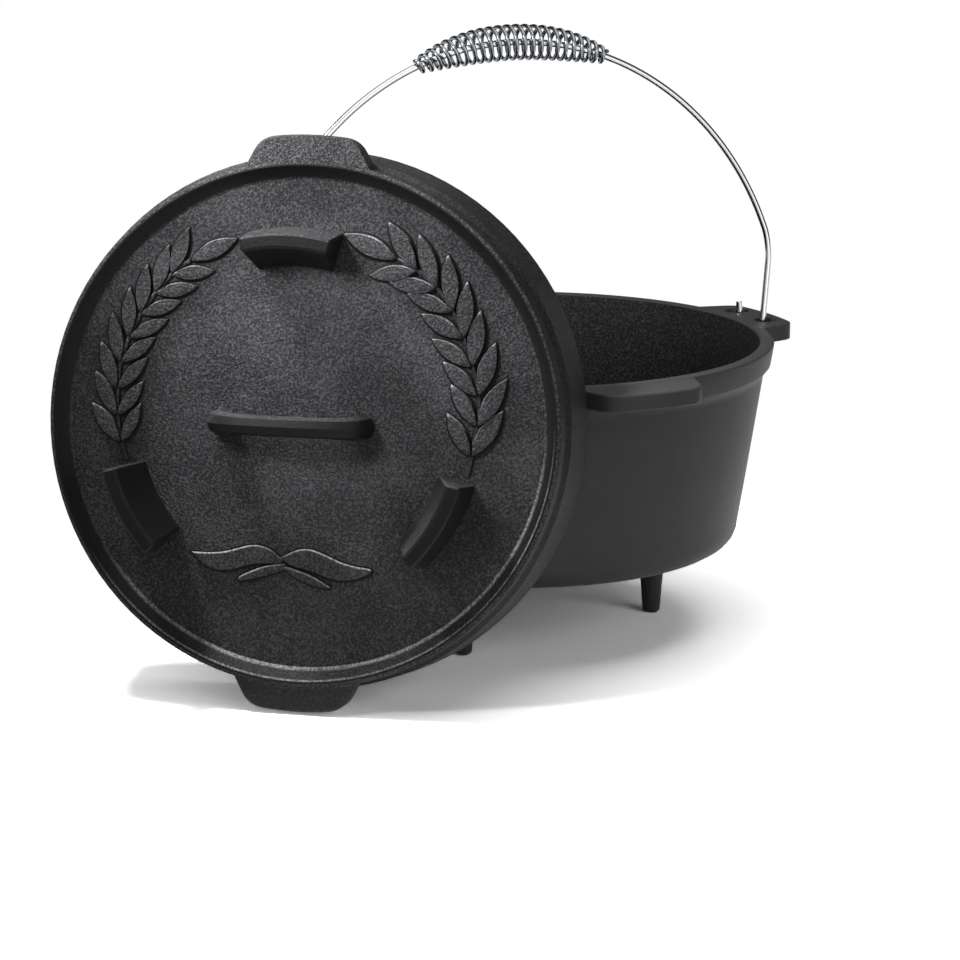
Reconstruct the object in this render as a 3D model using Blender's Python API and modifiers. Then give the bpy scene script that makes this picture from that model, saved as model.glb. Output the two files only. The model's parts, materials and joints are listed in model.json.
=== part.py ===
# Camp dutch oven in cast iron: a pot on three feet, its deep lid stood on edge against
# the pot, and a wire bail with a wound spring grip. Metres, Z up. The lid faces -Y.
import bpy
import bmesh
import math
import numpy as np
from mathutils import Matrix, Vector

# Pot: a turned bowl. Radii from the axis, heights above the floor.
MOUTH_RADIUS = 0.1500
RIM_LIP = 0.0090
RIM_HEIGHT = 0.1790
RIM_BAND = 0.0135
RIM_STEP = 0.0095
RIM_OVERHANG = 0.0067
WALL_TAPER = 0.0141
WALL_CURVE = 0.02
WALL = 0.0050
BASE_HEIGHT = 0.0535
BASE_CORNER = 0.0120
FLOOR = 0.0060
FLOOR_CORNER = 0.0150
EDGE_ROUND = 0.0015

# Lugs round the rim: two are ears for the bail, two are plain lifting lugs.
EAR_AZIMUTH = math.radians(38.5)
EAR_TIP_WIDTH = 0.0700
EAR_ROOT_WIDTH = 0.0843
LUG_TIP_WIDTH = 0.0610
LUG_ROOT_WIDTH = 0.0812
LUG_REACH = 0.0230
LUG_CORNER = 0.0080
LUG_THICKNESS = 0.0100
LUG_DROP = 0.0005
LUG_BITE = 0.0035
EAR_HOLE = 0.0150
EAR_HOLE_SPACING = 0.0354
EAR_HOLE_REACH = 0.0095

# Feet under the base.
FOOT_CIRCLE = 0.0875
FOOT_TURN = math.radians(-17.5)
FOOT_TIP = 0.0110
FOOT_ROOT = 0.0180
FOOT_FLARE = 0.0050
FOOT_BITE = 0.0030

# Lid: its own axis is local Z, and local Z = 0 is the flat crest of the coal rim.
CREST_WIDTH = 0.0040
FACE_SLOPE = 0.0085
FACE_DEPTH = 0.0080
PLATE = 0.0050
COLLAR_DEPTH = 0.0100
SHOULDER = 0.0040
SHOULDER_STEP = 0.0030
SKIRT_TAPER = 0.0025
FLANGE_COVER = 0.0045
LID_DEPTH = 0.0520
SKIRT = 0.0070
PAN_CORNER = 0.0100
LIP_HEIGHT = 0.0030
LIP_CLEARANCE = 0.0010
LIP_WIDTH = 0.0040

# Lid tabs, rack legs and loop. The legs and loop sit a little to one side, as cast.
TAB_REACH = 0.0140
TAB_TIP_WIDTH = 0.0555
TAB_ROOT_WIDTH = 0.0748
TAB_THICKNESS = 0.0130
TAB_DROP = 0.0004
TAB_BITE = 0.0020
FITTINGS_SIDE = -0.0075
LEG_HEIGHT = 0.0260
LEG_LENGTH = 0.0540
LEG_TIP_INNER = 0.1000
LEG_TIP_OUTER = 0.1080
LEG_DRAFT_INNER = 0.0110
LEG_DRAFT_OUTER = 0.0035
LEG_AZIMUTHS = [math.radians(a) for a in (90.0, 210.0, 330.0)]
LOOP_SPAN = 0.0820
LOOP_ROD = 0.0118
LOOP_RISE = 0.0200
LOOP_FLARE = 0.35
LOOP_SQUARENESS = 0.42
LOOP_BITE = 0.0025

# Where the lid stands: beside the pot's axis, leaning back on the rim.
LID_SIDE = -0.0805
LID_LEAN = math.radians(8.0)

# Bail: a planar arch with a hook at each end, hung in the ears' holes.
BAIL_WIRE = 0.0040
BAIL_ARCH_RADIUS = 0.1820
BAIL_ARCH_RISE = 0.0030
BAIL_BEND_LOW = 0.0360
BAIL_BEND_HIGH = math.radians(18.5)
BAIL_LEAN = math.radians(-6.0)
HOOK_RADIUS = 0.0140
HOOK_TIP = 0.0080

# Spring grip wound round the middle of the bail.
SPRING_WIRE = 0.0025
SPRING_CURLS = 23
SPRING_LENGTH = 0.1310
SPRING_OUTER = 0.0222
SPRING_BARREL = 2.6
POINTS_PER_CURL = 9

CLEARANCE = 0.0003
TURN_STEPS = 96

RIM_RADIUS = MOUTH_RADIUS + RIM_LIP
WALL_TOP_RADIUS = RIM_RADIUS - RIM_OVERHANG
WALL_FOOT_RADIUS = WALL_TOP_RADIUS - WALL_TAPER
FLANGE_RADIUS = MOUTH_RADIUS + FLANGE_COVER
SKIRT_TOP_RADIUS = FLANGE_RADIUS - SKIRT_TAPER
CREST_RADIUS = SKIRT_TOP_RADIUS - SHOULDER_STEP
CREST_INNER_RADIUS = CREST_RADIUS - CREST_WIDTH
FACE_RADIUS = CREST_INNER_RADIUS - FACE_SLOPE
RIM_UNDERSIDE = RIM_HEIGHT - RIM_BAND - RIM_STEP
EAR_TOP = RIM_HEIGHT - LUG_DROP
HINGE_HEIGHT = EAR_TOP - LUG_THICKNESS / 2.0
LIP_RADIUS = MOUTH_RADIUS - LIP_CLEARANCE
LUG_TIP_RADIUS = RIM_RADIUS + LUG_REACH
EAR_HOLE_RADIUS = RIM_RADIUS + EAR_HOLE_REACH
TAB_TIP_RADIUS = CREST_RADIUS + TAB_REACH


def make_collection(name):
    collection = bpy.data.collections.new(name)
    bpy.context.scene.collection.children.link(collection)
    return collection


for old in list(bpy.data.objects):
    bpy.data.objects.remove(old, do_unlink=True)

PARTS = make_collection("camp_dutch_oven")
CUTTERS = make_collection("dutch_oven_cutters")


def material(name, hex_colour, roughness, metallic):
    """A plain Principled BSDF whose colour is written as sRGB hex."""
    def linear(c):
        return c / 12.92 if c <= 0.04045 else ((c + 0.055) / 1.055) ** 2.4
    channels = [int(hex_colour[i:i + 2], 16) / 255.0 for i in (0, 2, 4)]
    finish = bpy.data.materials.new(name)
    finish.use_nodes = True
    shader = finish.node_tree.nodes["Principled BSDF"]
    shader.inputs["Base Color"].default_value = [linear(c) for c in channels] + [1.0]
    shader.inputs["Roughness"].default_value = roughness
    shader.inputs["Metallic"].default_value = metallic
    return finish


def add_object(name, data, collection, parent=None, finish=None):
    obj = bpy.data.objects.new(name, data)
    collection.objects.link(obj)
    obj.parent = parent
    if finish is not None:
        data.materials.append(finish)
    return obj


def hide_helper(obj):
    obj.hide_render = True
    obj.display_type = 'WIRE'
    return obj


def smooth(obj, angle=35.0):
    obj.data.shade_smooth()
    obj.data.set_sharp_from_angle(angle=math.radians(angle))


def arc(centre_r, centre_z, radius, start_deg, end_deg, steps):
    """Points of an arc in the profile plane, from start to end."""
    points = []
    for i in range(steps + 1):
        a = math.radians(start_deg + (end_deg - start_deg) * i / steps)
        points.append((centre_r + radius * math.cos(a), centre_z + radius * math.sin(a)))
    return points


def turned(name, profile, collection, parent=None, finish=None, steps=TURN_STEPS):
    """A profile of (radius, height) points turned about local Z with a Screw modifier."""
    mesh = bpy.data.meshes.new(name)
    verts = [(r, 0.0, z) for r, z in profile]
    edges = [(i, i + 1) for i in range(len(verts) - 1)]
    mesh.from_pydata(verts, edges, [])
    obj = add_object(name, mesh, collection, parent, finish)
    screw = obj.modifiers.new("turn", 'SCREW')
    screw.axis = 'Z'
    screw.angle = math.tau
    screw.steps = steps
    screw.render_steps = steps
    screw.use_merge_vertices = True
    screw.merge_threshold = 0.00001
    screw.use_smooth_shade = True
    return obj


def curve_object(name, points, depth, collection, parent=None, radii=None, sides=2):
    """A tube along a POLY spline with filled caps."""
    curve = bpy.data.curves.new(name, 'CURVE')
    curve.dimensions = '3D'
    curve.bevel_depth = depth
    curve.bevel_resolution = sides
    curve.use_fill_caps = True
    spline = curve.splines.new('POLY')
    spline.points.add(len(points) - 1)
    for i, p in enumerate(points):
        spline.points[i].co = (p[0], p[1], p[2], 1.0)
        spline.points[i].radius = 1.0 if radii is None else radii[i]
    return add_object(name, curve, collection, parent)


def flat_outline(name, outline, thickness, collection, parent=None):
    """A closed 2D outline extruded by half its thickness to each side of local Z = 0."""
    curve = bpy.data.curves.new(name, 'CURVE')
    curve.dimensions = '2D'
    curve.fill_mode = 'BOTH'
    curve.extrude = thickness / 2.0
    spline = curve.splines.new('POLY')
    spline.points.add(len(outline) - 1)
    for i, p in enumerate(outline):
        spline.points[i].co = (p[0], p[1], 0.0, 1.0)
    spline.use_cyclic_u = True
    return add_object(name, curve, collection, parent)


def to_mesh(curve_obj, finish=None):
    """Turns a curve object into a closed mesh object in the same place."""
    bpy.context.view_layer.update()
    graph = bpy.context.evaluated_depsgraph_get()
    mesh = bpy.data.meshes.new_from_object(curve_obj.evaluated_get(graph))
    work = bmesh.new()
    work.from_mesh(mesh)
    bmesh.ops.remove_doubles(work, verts=work.verts, dist=0.000001)
    bmesh.ops.recalc_face_normals(work, faces=work.faces)
    work.to_mesh(mesh)
    work.free()
    name = curve_obj.name
    collection = curve_obj.users_collection[0]
    parent = curve_obj.parent
    place = curve_obj.matrix_world.copy()
    bpy.data.objects.remove(curve_obj, do_unlink=True)
    obj = add_object(name, mesh, collection, parent)
    obj.matrix_world = place
    mesh.materials.clear()
    if finish is not None:
        mesh.materials.append(finish)
    return obj


def soften(obj, width, segments=1):
    bevel = obj.modifiers.new("soft_edges", 'BEVEL')
    bevel.width = width
    bevel.segments = segments
    bevel.limit_method = 'ANGLE'
    bevel.angle_limit = math.radians(50.0)
    return obj


def combine(target, tool, operation):
    boolean = target.modifiers.new(operation.lower() + "_" + tool.name, 'BOOLEAN')
    boolean.operation = operation
    boolean.solver = 'EXACT'
    boolean.object = hide_helper(tool)
    return boolean


def tab_outline(root_radius, root_width, tip_radius, tip_width, corner):
    """Plan of a lug or tab that points along local X: root corners and tip on circles round
    the origin, sides that widen to the root and rounded tip corners."""
    tip_angle = math.asin(tip_width / 2.0 / tip_radius)
    tip = Vector((tip_radius * math.cos(tip_angle), tip_width / 2.0))
    root = Vector((math.sqrt(root_radius ** 2 - root_width ** 2 / 4.0), root_width / 2.0))
    corner_angle = tip_angle - corner / tip_radius
    on_side = tip + (root - tip).normalized() * corner
    on_tip = Vector((tip_radius * math.cos(corner_angle), tip_radius * math.sin(corner_angle)))
    half = [root]
    for i in range(6):
        t = i / 5.0
        half.append(on_side * (1 - t) ** 2 + tip * 2 * t * (1 - t) + on_tip * t ** 2)
    for i in range(1, 5):
        a = corner_angle * (1 - i / 4.0)
        half.append(Vector((tip_radius * math.cos(a), tip_radius * math.sin(a))))
    mirrored = [Vector((p.x, -p.y)) for p in reversed(half[:-1])]
    return half + mirrored


def root_on_circle(outline, steps=10):
    """Closes a lug's or tab's plan with an arc, so its root lies inside the round rim."""
    first = outline[0]
    half_angle = math.atan2(first.y, first.x)
    radius = first.length
    for i in range(1, steps):
        a = half_angle * (2.0 * i / steps - 1.0)
        outline = outline + [Vector((radius * math.cos(a), radius * math.sin(a)))]
    return outline


# Turned profile of the pot
def wall_radius(z):
    """Outer radius of the bowl's wall: steep at the rim and drawn in towards the base."""
    u = (z - BASE_HEIGHT - BASE_CORNER) / (RIM_UNDERSIDE - BASE_HEIGHT - BASE_CORNER)
    return WALL_FOOT_RADIUS + (WALL_TOP_RADIUS - WALL_FOOT_RADIUS) * (u + WALL_CURVE * u * (1 - u))


def pot_outer_profile():
    """From the rim's top edge down the outside to the flat of the base."""
    points = arc(RIM_RADIUS - EDGE_ROUND, RIM_HEIGHT - EDGE_ROUND, EDGE_ROUND, 90, 0, 2)
    band_foot = RIM_RADIUS - 0.0020
    points.append((band_foot, RIM_HEIGHT - RIM_BAND))
    for i in range(1, 4):
        t = i / 4.0
        ease = 1 - (1 - t) ** 2
        z = RIM_HEIGHT - RIM_BAND - RIM_STEP * t
        points.append((band_foot + (WALL_TOP_RADIUS - band_foot) * ease, z))
    wall_steps = 7
    for i in range(wall_steps + 1):
        z = RIM_UNDERSIDE + (BASE_HEIGHT + BASE_CORNER - RIM_UNDERSIDE) * i / wall_steps
        points.append((wall_radius(z), z))
    points += arc(WALL_FOOT_RADIUS - BASE_CORNER, BASE_HEIGHT + BASE_CORNER, BASE_CORNER, -9, -90, 4)
    return points


def pot_inner_profile():
    """From the middle of the cooking floor up the inside to the rim's top edge."""
    floor_z = BASE_HEIGHT + FLOOR
    foot_z = floor_z + FLOOR_CORNER
    foot_r = wall_radius(foot_z) - WALL
    points = [(0.0, floor_z)]
    points += arc(foot_r - FLOOR_CORNER, foot_z, FLOOR_CORNER, -90, 0, 5)
    wall_steps = 5
    for i in range(1, wall_steps + 1):
        z = foot_z + (RIM_UNDERSIDE - foot_z) * i / wall_steps
        points.append((wall_radius(z) - WALL, z))
    points += arc(MOUTH_RADIUS + EDGE_ROUND, RIM_HEIGHT - EDGE_ROUND, EDGE_ROUND, 180, 90, 2)
    return points


def ear_outline():
    return tab_outline(RIM_RADIUS - LUG_BITE, EAR_ROOT_WIDTH, LUG_TIP_RADIUS, EAR_TIP_WIDTH, LUG_CORNER)


def lug_outline():
    return tab_outline(RIM_RADIUS - LUG_BITE, LUG_ROOT_WIDTH, LUG_TIP_RADIUS, LUG_TIP_WIDTH, LUG_CORNER)


def build_pot(parent):
    iron = material("seasoned_cast_iron_pot", "3A3A3B", 0.62, 0.35)
    profile = pot_inner_profile() + pot_outer_profile() + [(0.0, BASE_HEIGHT)]
    pot = turned("pot", profile, PARTS, parent, iron)
    for i, outline in enumerate([ear_outline(), lug_outline()] * 2):
        lug = flat_outline("lug_%d" % i, root_on_circle(outline), LUG_THICKNESS, CUTTERS, parent)
        lug.location = (0.0, 0.0, HINGE_HEIGHT)
        lug.rotation_euler = (0.0, 0.0, EAR_AZIMUTH + i * math.pi / 2.0)
        combine(pot, soften(to_mesh(lug), 0.0010), 'UNION')
    for i in range(3):
        foot = build_foot("foot_%d" % i, parent)
        angle = EAR_AZIMUTH + FOOT_TURN + i * math.tau / 3.0
        foot.location = (FOOT_CIRCLE * math.cos(angle), FOOT_CIRCLE * math.sin(angle), 0.0)
        combine(pot, foot, 'UNION')
    for ear in (0, 1):
        for side in (-1, 1):
            cut_ear_hole(pot, ear, side, parent)
    return pot


def build_foot(name, parent):
    """A tapered peg whose root flares where it leaves the base."""
    tip = FOOT_TIP / 2.0
    root = FOOT_ROOT / 2.0
    top = BASE_HEIGHT + FOOT_BITE
    profile = [(0.0, top), (root + FOOT_FLARE, top), (root + FOOT_FLARE, BASE_HEIGHT - 0.0005)]
    for t in (0.35, 0.7, 1.0):
        r = root + FOOT_FLARE * (1 - t) ** 2
        profile.append((r, BASE_HEIGHT - 0.0005 - FOOT_FLARE * 1.4 * t))
    profile += [(tip, EDGE_ROUND), (tip - EDGE_ROUND, 0.0), (0.0, 0.0)]
    return turned(name, profile, CUTTERS, parent, steps=24)


def cut_ear_hole(pot, ear, side, parent):
    bpy.ops.mesh.primitive_cylinder_add(vertices=32, radius=EAR_HOLE / 2.0, depth=LUG_THICKNESS * 3.0)
    hole = bpy.context.active_object
    hole.name = "ear_hole_%d_%d" % (ear, (side + 1) // 2)
    for collection in list(hole.users_collection):
        collection.objects.unlink(hole)
    CUTTERS.objects.link(hole)
    hole.parent = parent
    turn = Matrix.Rotation(EAR_AZIMUTH + ear * math.pi, 4, 'Z')
    place = Vector((EAR_HOLE_RADIUS, side * EAR_HOLE_SPACING / 2.0, HINGE_HEIGHT))
    hole.location = turn @ place
    combine(pot, hole, 'DIFFERENCE')


# Turned profile of the lid
def lid_profile():
    """From the middle of the face over the coal rim, down the skirt and back inside."""
    e = EDGE_ROUND
    points = [(0.0, -FACE_DEPTH), (FACE_RADIUS - 0.0030, -FACE_DEPTH)]
    points += [(FACE_RADIUS + 0.0010, -FACE_DEPTH + 0.0012)]
    points += [(CREST_INNER_RADIUS - 0.0004, -0.0012), (CREST_INNER_RADIUS + 0.0008, 0.0)]
    points += arc(CREST_RADIUS - e, -e, e, 90, 0, 2)
    points += [(CREST_RADIUS, -COLLAR_DEPTH)]
    points += [(CREST_RADIUS + 0.0006, -COLLAR_DEPTH - SHOULDER * 0.6)]
    points += [(SKIRT_TOP_RADIUS, -COLLAR_DEPTH - SHOULDER * 1.2)]
    points += arc(FLANGE_RADIUS - e, -LID_DEPTH + e, e, 0, -90, 2)
    points += [(LIP_RADIUS, -LID_DEPTH), (LIP_RADIUS - 0.0005, -LID_DEPTH - LIP_HEIGHT)]
    points += [(LIP_RADIUS - LIP_WIDTH, -LID_DEPTH - LIP_HEIGHT)]
    pan_floor = -FACE_DEPTH - PLATE
    pan_wall = SKIRT_TOP_RADIUS - SKIRT
    points += arc(pan_wall - PAN_CORNER, pan_floor - PAN_CORNER, PAN_CORNER, 0, 90, 4)
    points += [(0.0, pan_floor)]
    return points


def build_lid(parent):
    iron = material("seasoned_cast_iron_lid", "333335", 0.66, 0.35)
    lid = turned("lid", lid_profile(), PARTS, parent, iron)
    outline = tab_outline(CREST_RADIUS - TAB_BITE, TAB_ROOT_WIDTH, TAB_TIP_RADIUS, TAB_TIP_WIDTH, LUG_CORNER)
    for i in range(2):
        tab = flat_outline("tab_%d" % i, root_on_circle(outline), TAB_THICKNESS, CUTTERS, parent)
        tab.location = (0.0, 0.0, -TAB_DROP - TAB_THICKNESS / 2.0)
        tab.rotation_euler = (0.0, 0.0, math.pi / 2.0 + i * math.pi)
        combine(lid, soften(to_mesh(tab), 0.0010), 'UNION')
    for i, azimuth in enumerate(LEG_AZIMUTHS):
        combine(lid, build_leg("leg_%d" % i, azimuth, parent), 'UNION')
    combine(lid, build_loop(parent), 'UNION')
    return lid


def build_leg(name, azimuth, parent):
    """An upright plate on an arc, thinner at its tip: its section is spun about the axis."""
    bite = PLATE / 2.0
    low = -FACE_DEPTH - bite
    high = -FACE_DEPTH + LEG_HEIGHT
    draft = (LEG_HEIGHT + bite) / LEG_HEIGHT
    section = [(LEG_TIP_INNER - LEG_DRAFT_INNER * draft, low),
               (LEG_TIP_OUTER + LEG_DRAFT_OUTER * draft, low),
               (LEG_TIP_OUTER, high),
               (LEG_TIP_INNER, high)]
    sweep = LEG_LENGTH / LEG_TIP_OUTER
    work = bmesh.new()
    turn = Matrix.Rotation(azimuth - sweep / 2.0, 4, 'Z')
    verts = [work.verts.new(turn @ Vector((r, 0.0, z))) for r, z in section]
    face = work.faces.new(verts)
    bmesh.ops.spin(work, geom=[face], angle=sweep, steps=8, axis=(0, 0, 1), cent=(0, 0, 0))
    bmesh.ops.recalc_face_normals(work, faces=work.faces)
    mesh = bpy.data.meshes.new(name)
    work.to_mesh(mesh)
    work.free()
    leg = add_object(name, mesh, CUTTERS, parent)
    leg.location = (FITTINGS_SIDE, 0.0, 0.0)
    return soften(leg, 0.0012)


def build_loop(parent):
    """The bridge-shaped loop in the middle of the lid, for a lifting hook."""
    points = []
    radii = []
    steps = 16
    for i in range(steps + 1):
        t = -1.0 + 2.0 * i / steps
        x = LOOP_SPAN / 2.0 * math.copysign(abs(math.sin(t * math.pi / 2.0)), t)
        rise = math.cos(t * math.pi / 2.0) ** LOOP_SQUARENESS if abs(t) < 1.0 else 0.0
        points.append((x, 0.0, -FACE_DEPTH - LOOP_BITE + (LOOP_RISE + LOOP_BITE) * rise))
        radii.append(1.0 + LOOP_FLARE * abs(t) ** 3)
    loop = curve_object("loop", points, LOOP_ROD / 2.0, CUTTERS, parent, radii)
    loop.location = (FITTINGS_SIDE, 0.0, 0.0)
    return to_mesh(loop)


# Where the lid comes to rest
def outline_holds(outline, x, y, margin):
    """True where points lie in a convex clockwise outline that is grown by a margin."""
    held = np.ones(x.shape, dtype=bool)
    for p, q in zip(outline, outline[1:] + outline[:1]):
        edge = (q - p).normalized()
        held &= edge.x * (y - p.y) - edge.y * (x - p.x) < margin
    return held


def pot_blocks(x, y, z, margin):
    """True for points that lie inside the pot's outside, grown by a margin."""
    outer = pot_outer_profile()
    heights = [p[1] for p in reversed(outer)]
    radii = [p[0] for p in reversed(outer)]
    wall = np.interp(z, heights, radii)
    low_enough = z < RIM_HEIGHT + margin
    inside = (np.hypot(x, y) < wall + margin) & low_enough
    beside_lugs = low_enough & (z > EAR_TOP - LUG_THICKNESS - margin)
    for i, outline in enumerate([ear_outline(), lug_outline()] * 2):
        a = EAR_AZIMUTH + i * math.pi / 2.0
        along = x * math.cos(a) + y * math.sin(a)
        across = y * math.cos(a) - x * math.sin(a)
        inside |= beside_lugs & outline_holds(outline, along, across, margin)
    return inside


def lid_rest_place():
    """The lid's origin: its lower tab is on the floor and its back edge on the pot."""
    lean = LID_LEAN
    outward = np.array([0.0, -math.cos(lean), math.sin(lean)])
    upward = np.array([0.0, math.sin(lean), math.cos(lean)])
    tab_back = TAB_DROP + TAB_THICKNESS
    height = TAB_TIP_RADIUS * math.cos(lean) + tab_back * math.sin(lean)
    angles = np.linspace(0.0, math.tau, 720, endpoint=False)
    rings = []
    profile = lid_profile()
    for (r0, w0), (r1, w1) in zip(profile, profile[1:]):
        for t in np.linspace(0.0, 1.0, 6):
            r = r0 + (r1 - r0) * t
            w = w0 + (w1 - w0) * t
            ring = np.outer(np.cos(angles) * r, (1.0, 0.0, 0.0))
            ring += np.outer(np.sin(angles) * r, upward) + w * outward
            rings.append(ring)
    points = np.concatenate(rings) + np.array([LID_SIDE, 0.0, height])
    near, far = -RIM_RADIUS * 1.2, -RIM_RADIUS * 2.5
    while near - far > 0.00001:
        middle = (near + far) / 2.0
        if pot_blocks(points[:, 0], points[:, 1] + middle, points[:, 2], CLEARANCE).any():
            near = middle
        else:
            far = middle
    return Vector((LID_SIDE, far, height))


# Bail and its spring grip, in the bail's own frame: X along the hinge, Z up the arch
def arch_point(angle, radius=BAIL_ARCH_RADIUS):
    return Vector((radius * math.cos(angle), -HOOK_RADIUS, BAIL_ARCH_RISE + radius * math.sin(angle)))


def bail_half():
    """Points from the hook's tip up the leg to the start of the arch, on the +X side."""
    x = EAR_HOLE_RADIUS
    bend_top = arch_point(BAIL_BEND_HIGH)
    start = arch_point(math.asin((BAIL_BEND_LOW * 1.3) / BAIL_ARCH_RADIUS))
    leg_foot = Vector((x, -HOOK_RADIUS, 0.0))
    leg_top = leg_foot.lerp(start, 0.72)
    tip = HINGE_TIP
    points = [Vector((x, HOOK_RADIUS, tip * t)) for t in (1.0, 0.5)]
    hook_steps = 10
    for i in range(hook_steps + 1):
        a = math.pi * i / hook_steps
        points.append(Vector((x, HOOK_RADIUS * math.cos(a), -HOOK_RADIUS * math.sin(a))))
    points += [leg_foot.lerp(leg_top, t) for t in (0.33, 0.66)]
    for i in range(7):
        t = i / 6.0
        points.append(leg_top * (1 - t) ** 2 + start * 2 * t * (1 - t) + bend_top * t ** 2)
    return points


HINGE_TIP = LUG_THICKNESS / 2.0 + HOOK_TIP


def build_bail(parent):
    steel = material("plated_steel_wire", "C9CBCE", 0.16, 1.0)
    half = bail_half()
    points = list(half)
    arch_steps = 44
    for i in range(1, arch_steps):
        a = BAIL_BEND_HIGH + (math.pi - 2.0 * BAIL_BEND_HIGH) * i / arch_steps
        points.append(arch_point(a))
    points += [Vector((-p.x, p.y, p.z)) for p in reversed(half)]
    bail = curve_object("bail_wire", points, BAIL_WIRE / 2.0, PARTS, parent)
    bail.data.materials.append(steel)
    return bail


def spring_points():
    """One unbroken barrel-shaped coil that follows the arch, closing on the wire at its ends."""
    end_radius = (BAIL_WIRE + SPRING_WIRE) / 2.0 + CLEARANCE
    middle_radius = (SPRING_OUTER - SPRING_WIRE) / 2.0
    half_angle = SPRING_LENGTH / 2.0 / BAIL_ARCH_RADIUS
    count = SPRING_CURLS * POINTS_PER_CURL
    points = []
    for i in range(count + 1):
        u = i / count
        a = math.pi / 2.0 + half_angle * (1.0 - 2.0 * u)
        swell = 1.0 - abs(2.0 * u - 1.0) ** SPRING_BARREL
        r = end_radius + (middle_radius - end_radius) * swell
        turn = math.tau * SPRING_CURLS * u
        outward = Vector((math.cos(a), 0.0, math.sin(a)))
        across = Vector((0.0, 1.0, 0.0))
        points.append(arch_point(a) + outward * (r * math.cos(turn)) + across * (r * math.sin(turn)))
    first = points[0] + (points[0] - points[1]).normalized() * SPRING_WIRE
    last = points[-1] + (points[-1] - points[-2]).normalized() * SPRING_WIRE
    return [first] + points + [last]


def least_gap(points, skip, width):
    """Shortest distance between strands that are more than skip points apart."""
    p = np.array([tuple(q) for q in points])
    best = 1.0
    for i in range(len(p) - skip):
        best = min(best, float(np.linalg.norm(p[i + skip:] - p[i], axis=1).min()))
    return best - width


def build_spring(parent):
    steel = material("plated_spring_steel", "B9BBBE", 0.22, 1.0)
    points = spring_points()
    spring = curve_object("spring_grip", points, SPRING_WIRE / 2.0, PARTS, parent, sides=1)
    spring.data.materials.append(steel)
    gap = least_gap(points, POINTS_PER_CURL // 2, SPRING_WIRE)
    print("spring grip: least gap to itself %.2f mm" % (gap * 1000.0))
    return spring


def empty(name, parent=None):
    obj = bpy.data.objects.new(name, None)
    PARTS.objects.link(obj)
    obj.parent = parent
    return obj


def centre_on_floor(assembly):
    """Moves the whole so that the origin is under the middle of its box."""
    bpy.context.view_layer.update()
    graph = bpy.context.evaluated_depsgraph_get()
    low = Vector((1e9, 1e9, 1e9))
    high = -low
    for obj in PARTS.objects:
        if obj.type == 'EMPTY':
            continue
        shape = obj.evaluated_get(graph)
        mesh = shape.to_mesh()
        for v in mesh.vertices:
            p = obj.matrix_world @ v.co
            low = Vector(map(min, low, p))
            high = Vector(map(max, high, p))
        shape.to_mesh_clear()
    assembly.location = (-(low.x + high.x) / 2.0, -(low.y + high.y) / 2.0, -low.z)
    bpy.context.view_layer.update()
    print("box %s mm" % [round(v * 1000.0, 1) for v in (high - low)])


def main():
    assembly = empty("assembly")
    build_pot(assembly)
    lid_place = empty("lid_place", assembly)
    lid_place.location = lid_rest_place()
    lid_place.rotation_euler = (math.pi / 2.0 - LID_LEAN, 0.0, 0.0)
    build_lid(lid_place)
    hinge = empty("bail_hinge", assembly)
    hinge.location = (0.0, 0.0, HINGE_HEIGHT)
    hinge.rotation_euler = (BAIL_LEAN, 0.0, EAR_AZIMUTH)
    build_bail(hinge)
    build_spring(hinge)
    centre_on_floor(assembly)
    for obj in PARTS.objects:
        if obj.type == 'MESH':
            smooth(obj)
    for obj in (assembly, lid_place, hinge):
        print(obj.name, [round(v * 1000.0, 2) for v in obj.matrix_world.translation])


main()
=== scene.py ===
# %% [markdown]
# # A cast-iron camp oven with its lid stood against it
#
# The object is a camp dutch oven: a black cast-iron pot on three short feet, a deep lid
# stood on edge against it, and a bright wire bail with a spring wound round its middle.
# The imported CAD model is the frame. It already holds the true shapes and sizes, so this
# lesson is about what a caster, a wire bender and a photographer add: the grain of sand-cast
# iron, the raised laurel on the lid, the round bright wire, and soft studio light.

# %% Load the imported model
import json
import math

import bmesh
import bpy
from mathutils import Matrix, Vector


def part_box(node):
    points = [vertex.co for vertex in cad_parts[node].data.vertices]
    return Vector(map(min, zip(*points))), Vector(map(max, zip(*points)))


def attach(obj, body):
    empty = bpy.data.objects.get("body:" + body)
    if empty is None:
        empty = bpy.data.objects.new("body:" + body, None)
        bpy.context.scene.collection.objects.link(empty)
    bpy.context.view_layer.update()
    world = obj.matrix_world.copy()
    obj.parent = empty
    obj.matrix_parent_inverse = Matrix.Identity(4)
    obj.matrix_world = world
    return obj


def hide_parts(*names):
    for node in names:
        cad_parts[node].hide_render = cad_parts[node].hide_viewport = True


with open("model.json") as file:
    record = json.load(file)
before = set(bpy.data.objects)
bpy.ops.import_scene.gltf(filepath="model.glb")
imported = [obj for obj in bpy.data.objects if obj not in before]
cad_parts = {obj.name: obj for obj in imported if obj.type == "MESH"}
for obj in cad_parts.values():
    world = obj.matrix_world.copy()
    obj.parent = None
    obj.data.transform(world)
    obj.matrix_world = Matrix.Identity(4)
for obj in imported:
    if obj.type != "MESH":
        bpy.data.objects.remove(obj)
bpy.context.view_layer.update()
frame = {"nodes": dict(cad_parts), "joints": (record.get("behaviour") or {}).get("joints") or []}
MM = 0.001

# %% [markdown]
# ## Where things are
#
# Every piece is placed from the frame, not by eye. The bail's hinge gives the pot's axis,
# because the bail swings about a line through the middle of the pot. The lid leans back by
# a known angle, and its box then gives the centre of its coal rim. Two matrices follow: one
# for the bail, with X along the hinge and Z up the arch, and one for the lid, with Z out of
# its face. A piece is drawn flat in one of these frames and moved into place at the end.

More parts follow.
